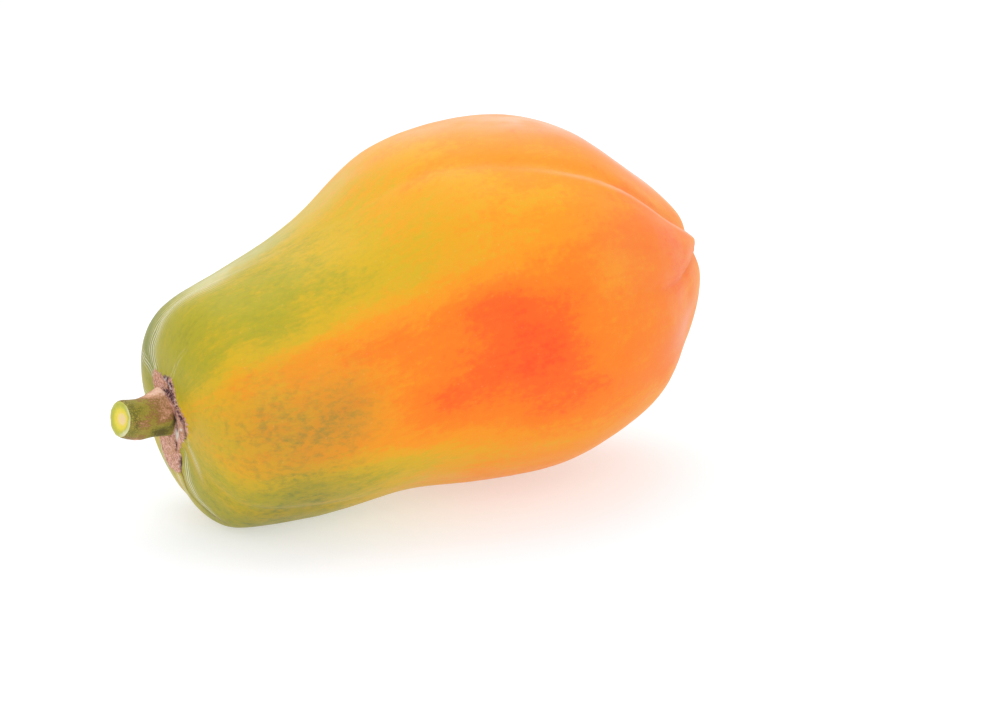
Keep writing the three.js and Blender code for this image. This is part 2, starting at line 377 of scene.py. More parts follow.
def wrinkleField(arc, angle, radius):
    # how wrinkled the skin is, and how many lines across the nearest run it lies
    most, across = np.zeros_like(arc), np.zeros_like(arc)
    for strength, spacing, run in scar["wrinkleRuns"]:
        along, degrees, halfWidth = zip(*run)
        beside = turnBetween(angle, np.radians(np.interp(arc, along, degrees))) * radius
        amount = strength * bell(beside, np.interp(arc, along, halfWidth))
        amount = amount * smoothStep(*(np.array(scar["runFrom"]) + along[0]), arc)
        amount = amount * smoothStep(along[-1], along[-2] - scar["runFade"], arc)
        across = np.where(amount > most, beside / spacing, across)
        most = np.maximum(most, amount)
    return most, across


def bellSum(share, angle, patches):
    return sum(
        change * bell(share - at, spread) * bellAround(angle, turn, wide)
        for at, turn, spread, wide, change in patches
    )


def turnedOutline():
    # the smooth body of revolution, whose points keep the length of skin from the seat
    curve = outlinePoints()
    arcs = np.concatenate([[0], np.cumsum(np.hypot(*np.diff(curve, axis=0).T))])
    shape = bmesh.new()
    arcLayer = shape.verts.layers.float.new("arc")
    line = []
    for (along, radius), arc in zip(curve, arcs):
        vert = shape.verts.new((along, 0, radius))
        vert[arcLayer] = arc
        line.append(vert)
    mesh, turned = spinOutline("papayaSkin", shape, line, (1, 0, 0), fruit["stepsAround"], 1e-3)
    arc = np.empty(len(turned))
    mesh.attributes["arc"].data.foreach_get("value", arc)
    return mesh, turned, arc


def scarFields(share, radius, angle, arc, wrapped):
    # what the scar and the skin round it have at every point, and how high it all stands
    reach = scar["radius"] + sum(
        far * bellAround(angle, at, spread) for at, far, spread in scar["points"]
    )
    ragged = grain(wrapped * scar["raggedStretch"], scar["raggedSize"], seed=3)
    reach = reach + scar["ragged"] * ragged
    # inside is the distance to the scar's edge, more than 0 within it
    inside = np.where(share < scar["lastShare"], reach, 0) - radius
    inside = inside - scar["endDrop"] * smoothStep(*scar["endFrom"], share)
    onScar = smoothStep(-scar["edge"], scar["edge"], inside)
    front, up = radius * np.cos(angle), radius * np.sin(angle)
    markFrom = scar["markFrom"]
    crackAndFootShadow, pale, maroon = (
        nearPaths(front, up, scar[kind]) * smoothStep(*markFrom, inside)
        for kind in ("cracksAndFootShadow", "paleStreaks", "darkSpots")
    )
    wrinkle, across = wrinkleField(arc, angle, radius)
    wrinkle = wrinkle * smoothStep(-markFrom[0], markFrom[0], inside)
    lineAlong, lineAngle = zip(*scar["brownLine"])
    beside = turnBetween(angle, np.radians(np.interp(arc, lineAlong, lineAngle))) * radius
    brown = bell(beside, scar["brownLineWidth"])
    brown = brown * smoothStep(*scar["brownLineFrom"], arc) * smoothStep(*scar["brownLineTo"], arc)
    raggedSize, raggedHeight = scar["flowerScarRagged"]
    flowerAway = radius + raggedHeight * grain(wrapped, raggedSize, seed=11)
    flowerScar = bell(flowerAway, scar["flowerScarRadius"]) * (share > scar["flowerScarShare"])

    rough = grain(np.stack([front, up, 0 * up], 1), scar["grainSize"], seed=4)
    relief = scar["height"] * onScar + onScar * scar["grainDepth"] * rough
    relief = relief - scar["crackDepth"] * crackAndFootShadow - scar["brownLineDepth"] * brown
    fields = {
        "inside": inside, "crackAndFootShadow": crackAndFootShadow, "pale": pale, "maroon": maroon, "wrinkle": wrinkle,
        "across": across, "brown": brown, "flowerScar": flowerScar,
    }
    return fields, relief


def makeFruit():
    mesh, turned, arc = turnedOutline()
    share = turned[:, 0] / fruit["length"]
    radius = np.hypot(turned[:, 1], turned[:, 2])
    angle = np.arctan2(turned[:, 2], -turned[:, 1])
    wrap = fruit["wrapRadius"]
    wrapped = np.stack([arc, wrap * np.cos(angle), wrap * np.sin(angle)], 1)
    towardsBody = radius / (radius + fruit["poleFade"])

    # lobes, with a crease in each groove and a fold over the front lobe
    swell, nearest, which = placeOnLobe(share, angle)
    stemEnd = 1 - smoothStep(*fruit["stemEndFrom"], share)
    blossomEnd = smoothStep(*fruit["blossomEndFrom"], share)
    swelling = fruit["lobeSwell"] + fruit["lobeSwellAtBlossom"] * blossomEnd
    onBody, atEnds = fruit["creaseDepthOnBody"], fruit["creaseDepthAtEnds"]
    depth = onBody + (atEnds - onBody) * (stemEnd + blossomEnd)
    fromGroove = nearest * radius
    crease = depth * bell(fromGroove, fruit["creaseWidth"])
    fold = fruit["fold"]
    hollowWidth = np.interp(share, *zip(*fold["width"]))
    folded = fold["depth"] * bell(fromGroove - fold["at"], hollowWidth)
    ridge = fold["ridge"] * bell(fromGroove - fold["ridgeAt"], fold["ridgeWidth"])
    folded = folded - ridge * smoothStep(*fold["ridgeFrom"], share)
    folded = folded * smoothStep(*fold["shareFrom"], share)
    folded = folded * smoothStep(*fold["radiusFrom"], radius)
    onGrooves = list(fold["onGrooves"])
    onGrooves[1] = onGrooves[1] * smoothStep(*fold["secondFrom"], share)
    crease = crease + folded * np.choose(which, onGrooves)
    lobed = radius * (1 + swelling * swell) - crease * towardsBody

    for at, turn, spread, wide, height in fruit["swells"]:
        lobed = lobed + height * bell(share - at, spread) * bellAround(angle, turn, wide)
    waveSize, waveHeight = fruit["wave"]
    puckerSize, puckerHeight = fruit["pucker"]
    uneven = waveHeight * grain(wrapped, waveSize, seed=1)
    uneven = uneven + puckerHeight * grain(wrapped, puckerSize, seed=2)
    lobed = lobed + uneven * towardsBody

    scarParts, relief = scarFields(share, radius, angle, arc, wrapped)

    # the axis arches up, and both ends of the fruit point a little further up
    rise = sum(height * bell(share - at, fruit["archSpread"]) for at, height in fruit["archHumps"])
    lift = 0
    for side, (height, far, border) in ((-1, fruit["seatRise"]), (1, fruit["apexRise"])):
        onEnd = side * share > side * border
        lift = lift + np.where(onEnd, height * np.clip(1 - (radius / far) ** 2, 0, 1) ** 2, 0)
    bulge = fruit["lobeEndBulge"] * swell * smoothStep(*fruit["lobeEndFrom"], share)
    bulge = bulge * radius / (radius + fruit["lobeEndFade"])
    x = turned[:, 0] - relief + bulge
    y = -lobed * np.cos(angle) * fruit["widthFactor"]
    z = lobed * np.sin(angle) + rise + lift
    tilt = math.radians(fruit["tilt"])
    laid = [x * math.cos(tilt) - z * math.sin(tilt), y, x * math.sin(tilt) + z * math.cos(tilt)]
    laid = np.stack(laid, 1) * mm

    # the solid says where the fruit lies; its low points are flat on the ground
    low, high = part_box("papaya_fruit")
    shift = (np.array(low) + np.array(high) - laid.min(0) - laid.max(0)) / 2
    shift[2] = high.z - laid[:, 2].max()
    laid = laid + shift
    laid[:, 2] = np.maximum(laid[:, 2], 0.0)
    mesh.vertices.foreach_set("co", laid.ravel())

    # how ripe, pink, dull and bloomy the skin is
    degrees = np.degrees(angle)
    stations = np.array(ripening["frontLobe"]).T
    lowEdge, highEdge, change = (np.interp(share, stations[0], row) for row in stations[1:])
    edge = ripening["edge"]
    band = smoothStep(-edge, edge, degrees - lowEdge) * smoothStep(-edge, edge, highEdge - degrees)
    ripe = np.interp(share, *zip(*ripening["along"])) + change * band
    # a painted highlight along the ridge below the front fold
    paintedShine = ripening["ridgeHaze"]
    onRidge = bell(fromGroove - fold["ridgeAt"], paintedShine["width"]) * (which == 0)
    onRidge = onRidge * smoothStep(*paintedShine["shareFrom"], share)
    onRidge = onRidge * smoothStep(*paintedShine["radiusFrom"], radius)
    grooves = ripening["grooveShade"]
    inGroove = bell(fromGroove, grooves["width"])
    storeFields(mesh, {
        "ripe": ripe + bellSum(share, angle, ripening["patches"]),
        "pink": bellSum(share, angle, ripening["pink"]),
        "dullAndShade": np.minimum(bellSum(share, angle, ripening["dullAndShade"]), 1),
        "paintedSheen": bellSum(share, angle, ripening["paintedSheen"]) + paintedShine["amount"] * onRidge,
        "groove": inGroove * (
            grooves["body"] + grooves["stemEnd"] * stemEnd + grooves["blossomEnd"] * blossomEnd
        ),
        **scarParts,
    })
    storePlaces(mesh, "skinMap", wrapped)

    mesh.shade_smooth()
    return addObject("papayaSkin", mesh), Vector(laid[int(np.argmin(arc))])


# The stem, along its own +Z from the seat, with +Y up. Round it 0 degrees faces the front, 90 up.
stalk = {
    "radius": 5.8,
    "length": 17.4,
    "root": 2.0,
    "offset": (5.0, -0.6),  # its foot stands to the back of the seat and down
    "footFlare": 4.5,
    "flareLength": 6.5,
    "flareBelow": 0.12,  # share of the flare on the lower side
    "flareNarrowing": 4,  # the higher, the narrower is the flare on the upper side
    "knuckle": (1.2, 11.5, 5.5),  # height, place, length
    "ridges": 5,
    "ridgeDepth": 0.25,
    "ridgeLength": 8.0,
    "turn": 9.0,
    "lift": 8.0,
    "stepsAround": 120,
    "stepsAlong": 70,
    "ringsOnCut": 16,
    "rimRound": 0.35,
    "rimWidth": 0.5,
    "barkRadius": 6.0,  # a mean radius, for noise laid round the stem
    "fibreStretch": 0.12,
    "fibreSize": 0.8,
    "fibreDepth": 0.09,
    "corkHeight": 0.16,
    "barkLumps": (0.9, 0.6, 0.8),  # size, mean, swing
    "corkBase": 0.3,
    "corkClouds": (3.2, 0.2),  # size, amount
    "corkStretch": 0.8,
    "corkGrains": (1.3, 0.1),
    # corky patches: height, angle, their spreads, amount
    "corkPatches": [
        (0, 68, 7.0, 52, 0.65), (6, 90, 8, 28, 0.5), (11.5, 0, 3.2, 26, 0.42),
        (12.5, -68, 4.5, 28, 0.45), (5.5, 18, 3.0, 26, 0.26), (8, -150, 7, 40, 0.35),
        (1, -130, 4, 50, 0.3), (15, 150, 4, 30, 0.25), (4.0, -42, 3.8, 30, -0.32),
        (13.5, 32, 3.0, 22, -0.12),
    ],
    "netFrom": (12, 16),  # the dark net begins this far along
    "netSide": (14, 0.25, 0.5),  # its thickest side, least cover, how much more there
    "netClouds": (2.5, 0.8, 0.6),
    "paintedFootShadow": (2.4, 1.3, 12, 40),  # a painted shadow line round the foot, where it meets the scar: its heights, side and spread
    "pithOffset": 0.2,  # the pith is off centre, towards the front
    "pithSink": (0.35, 0.34),  # depth, spread
    "cutRing": (0.18, 0.8, 0.1),  # a raised ring on the cut: height, where, spread
    "raggedCut": (1.6, 0.25, 4.0),  # size, height, and the radius it is laid round
    # the torn part of the cut: how far out, which side, how deep, and how its edge wanders
    "tornFrom": (0.78, 0.92),
    "tornSide": (0.1, 0.7, 0.2),
    "tornDepth": 0.25,
    "tornWander": (0.5, 0.7, 1.2),
}


def makeStalk(seatPoint):
    length, root, steps = stalk["length"], stalk["root"], stalk["stepsAlong"]
    side = [(1.0, -root + (length + root) * i / steps) for i in range(steps + 1)]
    cut = [(1 - (i + 1) / stalk["ringsOnCut"], length) for i in range(stalk["ringsOnCut"])]
    outline = [(0.0, -root)] + side + cut
    shape = bmesh.new()
    line = [shape.verts.new((share, 0, height)) for share, height in outline]
    mesh, points = spinOutline("cutStalk", shape, line, (0, 0, 1), stalk["stepsAround"], 1e-4)
    height = points[:, 2].copy()
    out = np.hypot(points[:, 0], points[:, 1])
    angle = np.arctan2(points[:, 1], points[:, 0])
    onTop = height > length - 1e-3
    onCut = onTop & (out < 0.999)  # all of the top but its rim
    wrap = stalk["barkRadius"]
    ring = np.stack([wrap * np.cos(angle), wrap * np.sin(angle), height], 1)

    # what covers the bark: cork, a net of cracks near the cut, and a painted shadow line round the
    # foot
    cloudSize, cloudAmount = stalk["corkClouds"]
    grainSize, grainAmount = stalk["corkGrains"]
    corky = stalk["corkBase"]
    corky = corky + cloudAmount * grain(ring * [1, 1, stalk["corkStretch"]], cloudSize, seed=5)
    corky = corky + grainAmount * grain(ring, grainSize, seed=6)
    for at, turn, spread, wide, amount in stalk["corkPatches"]:
        corky = corky + amount * bell(height - at, spread) * bellAround(angle, turn, wide)
    netSide, least, more = stalk["netSide"]
    facing = 0.5 + 0.5 * np.cos(angle - math.radians(netSide))
    netted = smoothStep(*stalk["netFrom"], height) * (least + more * facing)
    cloudSize, mean, swing = stalk["netClouds"]
    netted = netted * (mean + swing * grain(ring, cloudSize, seed=10))
    lineHigh, lineLow, lineSide, lineSpread = stalk["paintedFootShadow"]
    paintedFootShadow = smoothStep(lineHigh, lineLow, height) * bellAround(angle, lineSide, lineSpread)

    # the stem's thickness: a flared foot, a knuckle, ridges, fibres and a rounded rim
    upperSide = 0.5 + 0.5 * np.sin(angle)
    below = stalk["flareBelow"]
    flare = below + (1 - below) * upperSide ** stalk["flareNarrowing"]
    knuckleHeight, knuckleAt, knuckleLength = stalk["knuckle"]
    radius = stalk["radius"]
    flared = flare * bell(np.clip(height, 0, None), stalk["flareLength"])
    radius = radius + stalk["footFlare"] * flared
    radius = radius + knuckleHeight * (1 - upperSide) * bell(height - knuckleAt, knuckleLength)
    ridged = stalk["ridgeDepth"] * np.cos(stalk["ridges"] * angle)
    radius = radius + ridged * smoothStep(length, length - stalk["ridgeLength"], height)
    fibre = grain(ring * [1, 1, stalk["fibreStretch"]], stalk["fibreSize"], seed=7)
    lumpSize, mean, swing = stalk["barkLumps"]
    lumps = np.clip(corky, 0, 1) * (mean + swing * grain(ring, lumpSize, seed=8))
    bark = stalk["fibreDepth"] * fibre + stalk["corkHeight"] * lumps
    radius = radius + bark - stalk["rimRound"] * bell(height - length, stalk["rimWidth"])

    # the cut: a sunken pith, a raised ring, and a torn side
    raggedSize, raggedHeight, wrap = stalk["raggedCut"]
    around = np.stack([wrap * np.cos(angle), wrap * np.sin(angle), 0 * angle], 1)
    ragged = raggedHeight * grain(around, raggedSize, seed=9)
    offset = stalk["pithOffset"]
    pithAway = np.hypot(out * np.cos(angle) - offset, out * np.sin(angle))
    ringAt = pithAway / (1 - offset * np.cos(angle))
    edgeWander, mean, swing = stalk["tornWander"]
    bare, full, tornTurn = stalk["tornSide"]
    torn = smoothStep(*stalk["tornFrom"], out + edgeWander * ragged)
    torn = torn * smoothStep(bare, full, np.cos(angle + tornTurn)) * (mean + swing * ragged)
    pithDepth, pithSpread = stalk["pithSink"]
    ringHeight, ringPlace, ringSpread = stalk["cutRing"]
    sunk = pithDepth * bell(pithAway, pithSpread) - ringHeight * bell(out - ringPlace, ringSpread)
    sunk = sunk - stalk["tornDepth"] * torn
    height = height + np.where(onTop, ragged * out - np.where(onCut, sunk, 0), 0)
    local = [radius * out * np.cos(angle), radius * out * np.sin(angle), height]
    local = np.stack(local, 1) * mm

    lift, turn = math.radians(stalk["lift"]), math.radians(stalk["turn"])
    direction = Vector(
        (-math.cos(lift) * math.cos(turn), -math.cos(lift) * math.sin(turn), math.sin(lift))
    )
    sideways = Vector((0, 0, 1)).cross(direction).normalized()
    basis = np.array([sideways, direction.cross(sideways), direction])
    backwards, up = stalk["offset"]
    foot = np.array(seatPoint) + np.array([0, backwards * mm, up * mm])
    mesh.vertices.foreach_set("co", (local @ basis + foot).ravel())

    storeFields(mesh, {
        "corky": corky, "netted": netted, "paintedFootShadow": paintedFootShadow, "ringAt": ringAt, "torn": torn,
    })
    storePlaces(mesh, "ring", ring)
    mesh.shade_smooth()
    for face in mesh.polygons:
        if all(onTop[v] for v in face.vertices):
            face.material_index = 1  # the cut
    return addObject("cutStalk", mesh)


# Ripe papaya skin: thin, smooth and waxy over firm flesh, so it has a broad soft gloss and a
# little light goes in. It turns from green through yellow to orange, with fine streaks along
# the fruit, grey-green flecks where it is still green, and tiny pale pores.
skinLook = {
    "ramp": [
        (0.0, "#667519"), (0.15, "#8B8C24"), (0.3, "#B0A526"), (0.45, "#D6AF20"),
        (0.55, "#E8A61C"), (0.65, "#F2961B"), (0.78, "#F47E19"), (0.9, "#F4641C"),
        (1.0, "#F44F1D"),
    ],
    # uneven ripening: size in millimetres, strength, stretch along the fruit
    "unevenness": [
        (16.0, 0.12, (0.45, 1, 1)), (6.0, 0.06, (0.5, 1, 1)), (2.2, 0.06, (0.12, 1, 1)),
        (1.1, 0.09, (0.5, 1, 1)),
    ],
    # noise: size in millimetres, detail, roughness
    "noises": {
        "flecks": (1.9, 4, 0.62), "fleckClouds": (6.0, 2, 0.5), "wander": (5.0, 2, 0.5),
        "fine": (1.1, 3, 0.5), "cork": (0.8, 5, 0.72), "corkClouds": (3.2, 2, 0.5),
    },
    "drawnOut": ("flecks", "fleckClouds"),  # the noises that are longer along the fruit
    # what is read off a noise or a painted field: its name, the range read, the range given
    "ranges": {
        "fleckShape": ("flecks", 0.45, 0.72, 0, 1), "cloudy": ("fleckClouds", 0.3, 0.56, 0.25, 1),
        "greenness": ("ripe", 0.58, 0.3, 0, 0.22), "warmth": ("ripe", 0.44, 0.58, 0, 1),
        "tan": ("corkClouds", 0.45, 0.65, 0, 0.5), "speckle": ("cork", 0.56, 0.46, 0.3, 1.3),
        "gloss": ("fleckClouds", 0.3, 0.7, 0.48, 0.58),
    },
    "fleckStretch": (0.6, 1.0, 1.0),
    "fleck": "#737E3C",
    "fleckOnDull": 0.8,
    # olive laid over the dull places, partly painted shade
    "shade": "#8F8438",
    "shadeOnDull": 0.5,
    "poreSize": 3.0,
    "pore": "#FFE7A8",
    "shadeInGrooves": 0.05,
    "salmon": "#EB7A50",
    "salmonOnPink": 0.55,
    "greyPaintedSheen": "#E0DCB4",  # the painted sheen looks greyish on green skin and pinkish on orange skin
    "pinkPaintedSheen": "#F8CDB8",
    "paintedSheenAmount": 0.42,
    "evenPaintedSheen": 0.6,
    "wrinkle": "#E8E6CC",
    "brownLine": "#6E4630",
    "flowerScar": "#5A3C26",
    # the scar's cork: grains from dark to light, then what lies over them
    "corkRamp": [(0.34, "#7A4446"), (0.42, "#C0846E"), (0.54, "#E2AA94"), (0.64, "#F8DCD2")],
    "corkTan": "#C4925E",
    "corkPale": "#F0E8E2",
    "corkMaroon": "#54283A",
    "corkCrackAndFootShadow": "#331C2A",
    "corkEdgeGrain": 2.6,  # how far the grains fray the scar's edge
    "corkRoughness": 0.85,
    # strength and depth in metres of the fine grain, the pores and the cork
    "bumps": [(0.12, 0.0004), (0.6, 0.0003), (0.8, 0.0005)],
    "shader": {
        "IOR": 1.4, "Specular IOR Level": 0.3, "Subsurface Weight": 0.12,
        "Subsurface Radius": (1.0, 0.35, 0.1), "Subsurface Scale": 0.004, "Sheen Weight": 0.11,
        "Sheen Roughness": 0.3,
    },
}


def makeSkinMaterial():
    look = skinLook
    material, tree, shader = newMaterial("waxyPapayaSkin", look["shader"])
    grown = addNode(tree, "ShaderNodeAttribute", attribute_name="skinMap").outputs["Vector"]
    metres = addNode(tree, "ShaderNodeTexCoord").outputs["Object"]
    place = addNode(
        tree, "ShaderNodeVectorMath", operation="SCALE", links={0: metres},
        inputs={"Scale": 1000.0},
    ).outputs[0]
    drawnOut = addNode(
        tree, "ShaderNodeVectorMath", operation="MULTIPLY", links={0: place},
        inputs={1: look["fleckStretch"]},
    ).outputs[0]
    painted = {
        name: addNode(tree, "ShaderNodeAttribute", attribute_name=name).outputs["Fac"]
        for name in (
            "ripe", "pink", "dullAndShade", "paintedSheen", "groove", "inside", "crackAndFootShadow", "pale", "maroon",
            "wrinkle", "across", "brown", "flowerScar",
        )
    }
    noises = {
        name: addNode(
            tree, "ShaderNodeTexNoise",
            links={"Vector": drawnOut if name in look["drawnOut"] else place},
            inputs={"Scale": 1 / size, "Detail": detail, "Roughness": roughness},
        ).outputs["Fac"]
        for name, (size, detail, roughness) in look["noises"].items()
    }

    fields = {**painted, **noises}
    shown = {
        name: addNode(
            tree, "ShaderNodeMapRange", links={"Value": fields[source]},
            inputs={"From Min": low, "From Max": high, "To Min": least, "To Max": most},
        ).outputs[0]
        for name, (source, low, high, least, most) in look["ranges"].items()
    }

    # four sizes of unevenness shift the ripeness before it is turned to colour
    total = painted["ripe"]
    for size, strength, stretch in look["unevenness"]:
        longways = addNode(
            tree, "ShaderNodeVectorMath", operation="MULTIPLY", links={0: grown},
            inputs={1: stretch},
        )
        clouds = addNode(
            tree, "ShaderNodeTexNoise", links={"Vector": longways.outputs[0]},
            inputs={"Scale": 1 / size, "Detail": 4, "Roughness": 0.6},
        )
        raised = addNode(
            tree, "ShaderNodeMath", operation="MULTIPLY_ADD",
            links={0: clouds.outputs["Fac"], 2: total}, inputs={1: 2 * strength},
        )
        total = addNode(
            tree, "ShaderNodeMath", operation="SUBTRACT", links={0: raised.outputs[0]},
            inputs={1: strength},
        ).outputs[0]
    # painted shade in the grooves: the ripeness is pushed up there, to a darker orange
    total = addNode(
        tree, "ShaderNodeMath", operation="MULTIPLY_ADD", links={0: painted["groove"], 2: total},
        inputs={1: look["shadeInGrooves"]},
    )
    ramp = addNode(tree, "ShaderNodeValToRGB", links={"Fac": total.outputs[0]})
    fillRamp(ramp, look["ramp"])
    ramp.color_ramp.interpolation = "EASE"

    # grey-green flecks, thick where the skin is green, dull or painted in shade, and thin on
    # yellow
    greenness = addNode(
        tree, "ShaderNodeMath", operation="MULTIPLY_ADD",
        links={0: painted["dullAndShade"], 2: shown["greenness"]}, inputs={1: look["fleckOnDull"]},
    )
    flecked = addNode(
        tree, "ShaderNodeMath", operation="MULTIPLY",
        links={0: shown["fleckShape"], 1: shown["cloudy"]},
    )
    flecked = addNode(
        tree, "ShaderNodeMath", operation="MULTIPLY",
        links={0: flecked.outputs[0], 1: greenness.outputs[0]}, use_clamp=True,
    )
    # an olive darkening over dull skin, which is also the painted shade on the neck
    shade = addNode(
        tree, "ShaderNodeMath", operation="MULTIPLY", links={0: painted["dullAndShade"]},
        inputs={1: look["shadeOnDull"]},
    )
    # salmon blush, partly painted pinkish sheen near the blossom end
    salmon = addNode(
        tree, "ShaderNodeMath", operation="MULTIPLY", links={0: painted["pink"]},
        inputs={1: look["salmonOnPink"]}, use_clamp=True,
    )

    # pores, pale and a third of a millimetre wide
    pores = addNode(
        tree, "ShaderNodeTexVoronoi", links={"Vector": place},
        inputs={"Scale": 1 / look["poreSize"]},
    )
    poreShape = addNode(
        tree, "ShaderNodeMapRange", links={"Value": pores.outputs["Distance"]},
        inputs={"From Min": 0.12, "From Max": 0.05, "To Max": 0.07},
    )

    # fine whitish lines along the wrinkled runs
    phase = addNode(
        tree, "ShaderNodeMath", operation="ADD", links={0: painted["across"], 1: noises["wander"]},
    )
    turns = addNode(
        tree, "ShaderNodeMath", operation="MULTIPLY", links={0: phase.outputs[0]},
        inputs={1: 2 * math.pi},
    )
    wave = addNode(tree, "ShaderNodeMath", operation="COSINE", links={0: turns.outputs[0]})
    lines = addNode(
        tree, "ShaderNodeMapRange", links={"Value": wave.outputs[0]},
        inputs={"From Min": -0.1, "From Max": 0.9, "To Min": 0.03},
    )
    streaks = addNode(
        tree, "ShaderNodeMath", operation="MULTIPLY",
        links={0: lines.outputs[0], 1: painted["wrinkle"]}, use_clamp=True,
    )

    # painted sheen, part even and part in clouds
    paintedShine = addNode(
        tree, "ShaderNodeMath", operation="MULTIPLY",
        links={0: painted["paintedSheen"], 1: shown["cloudy"]},
    )
    paintedShine = addNode(
        tree, "ShaderNodeMath", operation="MULTIPLY_ADD",
        links={0: painted["paintedSheen"], 2: paintedShine.outputs[0]}, inputs={1: look["evenPaintedSheen"]},
    )
    paintedShine = addNode(
        tree, "ShaderNodeMath", operation="MULTIPLY", links={0: paintedShine.outputs[0]},
        inputs={1: look["paintedSheenAmount"]}, use_clamp=True,
    )
    paintedSheenColour = addNode(
        tree, "ShaderNodeMix", data_type="RGBA", links={"Factor": shown["warmth"]},
        inputs={6: linearColour(look["greyPaintedSheen"]), 7: linearColour(look["pinkPaintedSheen"])},
    )

    # the corky scar: pinkish grains with tan clouds and a frayed edge
    edge = addNode(
        tree, "ShaderNodeMath", operation="MULTIPLY_ADD",
        links={0: noises["cork"], 2: painted["inside"]}, inputs={1: look["corkEdgeGrain"]},
    )
    onScar = addNode(
        tree, "ShaderNodeMapRange", links={"Value": edge.outputs[0]},
        inputs={"From Min": 1.1, "From Max": 1.7},
    ).outputs[0]
    corkRamp = addNode(tree, "ShaderNodeValToRGB", links={"Fac": noises["cork"]})
    fillRamp(corkRamp, look["corkRamp"])
    maroon = addNode(
        tree, "ShaderNodeMath", operation="MULTIPLY",
        links={0: painted["maroon"], 1: shown["speckle"]}, use_clamp=True,
    )

    # each layer lies over the one before it: how much of it shows, its colour
    skinLayers = [
        (salmon.outputs[0], "salmon"), (shade.outputs[0], "shade"), (flecked.outputs[0], "fleck"),
        # the painted sheen and the painted highlight on the ridge go on as one pale layer
        (poreShape.outputs[0], "pore"), (paintedShine.outputs[0], paintedSheenColour.outputs[2]),
        (streaks.outputs[0], "wrinkle"), (painted["brown"], "brownLine"),
        (painted["flowerScar"], "flowerScar"),
    ]
    corkLayers = [
        (shown["tan"], "corkTan"), (painted["pale"], "corkPale"),
        (maroon.outputs[0], "corkMaroon"), (painted["crackAndFootShadow"], "corkCrackAndFootShadow"),
    ]
    finished = []
    for ground, layers in ((ramp, skinLayers), (corkRamp, corkLayers)):
        top = ground.outputs["Color"]
        for amount, paint in layers:
            plain = isinstance(paint, str)
            layer = addNode(
                tree, "ShaderNodeMix", data_type="RGBA",
                links={"Factor": amount, 6: top, **({} if plain else {7: paint})},
                inputs={7: linearColour(look[paint])} if plain else {},
            )
            top = layer.outputs[2]
        finished.append(top)
    both = addNode(
        tree, "ShaderNodeMix", data_type="RGBA",
        links={"Factor": onScar, 6: finished[0], 7: finished[1]},
    )
    tree.links.new(both.outputs[2], shader.inputs["Base Color"])

    # gloss: waxy on the skin, dull on the scar
    roughness = addNode(
        tree, "ShaderNodeMix", links={"Factor": onScar, "A": shown["gloss"]},
        inputs={3: look["corkRoughness"]},
    )
    tree.links.new(roughness.outputs[0], shader.inputs["Roughness"])

    # three bumps, each over the one before it
    corkHeight = addNode(
        tree, "ShaderNodeMath", operation="MULTIPLY", links={0: noises["cork"], 1: onScar},
    )
    under = {}
    heights = (noises["fine"], streaks.outputs[0], corkHeight.outputs[0])
    for height, (strength, depth) in zip(heights, look["bumps"]):
        bump = addNode(
            tree, "ShaderNodeBump", links={"Height": height, **under},
            inputs={"Strength": strength, "Distance": depth},
        )
        under = {"Normal": bump.outputs[0]}
    tree.links.new(bump.outputs[0], shader.inputs["Normal"])
    return material


# Green fruit stalk: fibrous, ribbed and dull, olive with brown and pinkish corky patches, and a
# net of fine dark cracks near the cut.
barkLook = {
    "ramp": [
        (0.0, "#5A5418"), (0.2, "#8A8429"), (0.4, "#A3953A"), (0.55, "#8E6A34"), (0.7, "#BC8C64"),
        (0.85, "#DEAA8A"), (1.0, "#F0CAB0"),
    ],
    "fibreSize": 0.5,
    "fibreAmount": 0.35,
    "grainSize": 0.6,
    "darkening": 0.72,  # taken off the sum of cork, grain and fibre before the ramp
    "netSize": 0.75,
    "netLine": (0.16, 0.05),  # from where to where a line of the net darkens
    "net": "#45411A",
    "paintedFootShadow": "#33221C",
    "bumps": (0.4, 0.35),  # of the fibres and the grain
    "bumpDepth": 0.0003,
    "shader": {"Roughness": 0.62, "IOR": 1.45},
}


